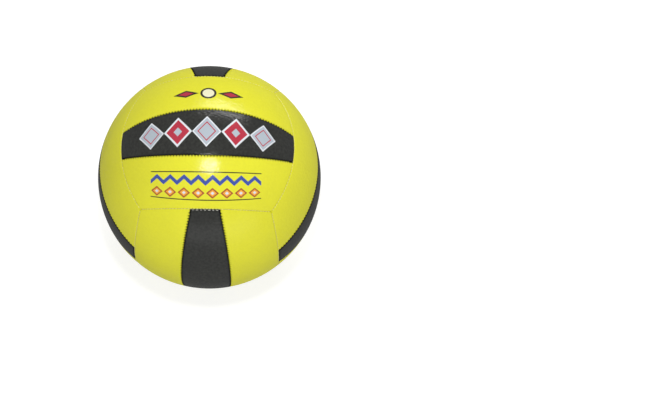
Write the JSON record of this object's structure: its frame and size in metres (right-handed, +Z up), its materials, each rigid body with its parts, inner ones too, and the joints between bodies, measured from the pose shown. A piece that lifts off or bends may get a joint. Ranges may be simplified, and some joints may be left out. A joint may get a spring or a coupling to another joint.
{
  "type": "volleyball",
  "caption": "Sewn volleyball covered in yellow and charcoal strip panels, with foam backings, a rubber bladder and a needle valve; for hitting, setting and serving by hand.",
  "frame": {"origin": "centre of the ball", "axes": "+Z up through the middle of the top face, whose strips run along X; -Y is the front face, whose strips run along Z"},
  "size_m": [0.2084, 0.2084, 0.2084],
  "materials": {
    "yellow_skin": "satin synthetic leather, bright yellow",
    "charcoal_skin": "satin synthetic leather, charcoal",
    "backing_foam": "soft cream foam",
    "sewing_thread": "twisted off-white thread",
    "butyl_rubber": "smooth black rubber",
    "valve_rubber": "satin black rubber",
    "patch_cloth": "matt woven cloth"
  },
  "bodies": {
    "ball": {"top_front_panel": "yellow_skin", "top_middle_panel": "charcoal_skin", "top_rear_panel": "yellow_skin", "bottom_rear_panel": "yellow_skin", "bottom_middle_panel": "charcoal_skin", "bottom_front_panel": "yellow_skin", "front_right_panel": "yellow_skin", "front_middle_panel": "charcoal_skin", "front_left_panel": "yellow_skin", "back_left_panel": "yellow_skin", "back_middle_panel": "charcoal_skin", "back_right_panel": "yellow_skin", "left_upper_panel": "yellow_skin", "left_middle_panel": "charcoal_skin", "left_lower_panel": "yellow_skin", "right_lower_panel": "yellow_skin", "right_middle_panel": "charcoal_skin", "right_upper_panel": "yellow_skin", "top_front_foam": "backing_foam", "top_middle_foam": "backing_foam", "top_rear_foam": "backing_foam", "bottom_rear_foam": "backing_foam", "bottom_middle_foam": "backing_foam", "bottom_front_foam": "backing_foam", "front_right_foam": "backing_foam", "front_middle_foam": "backing_foam", "front_left_foam": "backing_foam", "back_left_foam": "backing_foam", "back_middle_foam": "backing_foam", "back_right_foam": "backing_foam", "left_upper_foam": "backing_foam", "left_middle_foam": "backing_foam", "left_lower_foam": "backing_foam", "right_lower_foam": "backing_foam", "right_middle_foam": "backing_foam", "right_upper_foam": "backing_foam", "top_seam_thread": "sewing_thread", "bottom_seam_thread": "sewing_thread", "front_seam_thread": "sewing_thread", "back_seam_thread": "sewing_thread", "left_seam_thread": "sewing_thread", "right_seam_thread": "sewing_thread", "bladder": "butyl_rubber", "valve_housing": "valve_rubber", "valve_patch": "patch_cloth"},
    "valve_plug": {"valve_plug": "valve_rubber"}
  },
  "joints": [
    {"name": "valve_plug_pull", "type": "slide", "parent": "ball", "child": "valve_plug", "axis": [-0.4458, 0.8951, 0], "range_m": [0, 0.016]}
  ]
}
